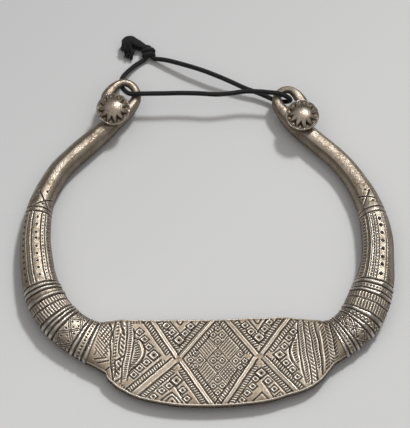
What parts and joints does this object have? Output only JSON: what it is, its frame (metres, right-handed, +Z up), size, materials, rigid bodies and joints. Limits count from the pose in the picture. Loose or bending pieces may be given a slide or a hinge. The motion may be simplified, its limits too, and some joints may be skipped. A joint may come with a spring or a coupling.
{
  "type": "collar necklace",
  "caption": "Rigid silver neck collar with an ornamented flat front plate, tube arms that end in wire eyes with domed buttons, and a black tie cord.",
  "frame": {"origin": "middle of the collar's footprint on the surface that it lies on, at the surface's height", "axes": "+Z up from the surface, +Y from the plate towards the eyes and the cord, +X along the plate towards the wearer's left arm"},
  "size_m": [0.1786, 0.1972, 0.0173],
  "materials": {
    "silver": "worn and tarnished, polished on the high places",
    "black_cord": "matt, tightly braided"
  },
  "bodies": {
    "root": {"collar": "silver", "left_button": "silver", "right_button": "silver", "tie_cord": "black_cord", "knot": "black_cord", "upper_tail": "black_cord", "lower_tail": "black_cord"}
  },
  "joints": []
}
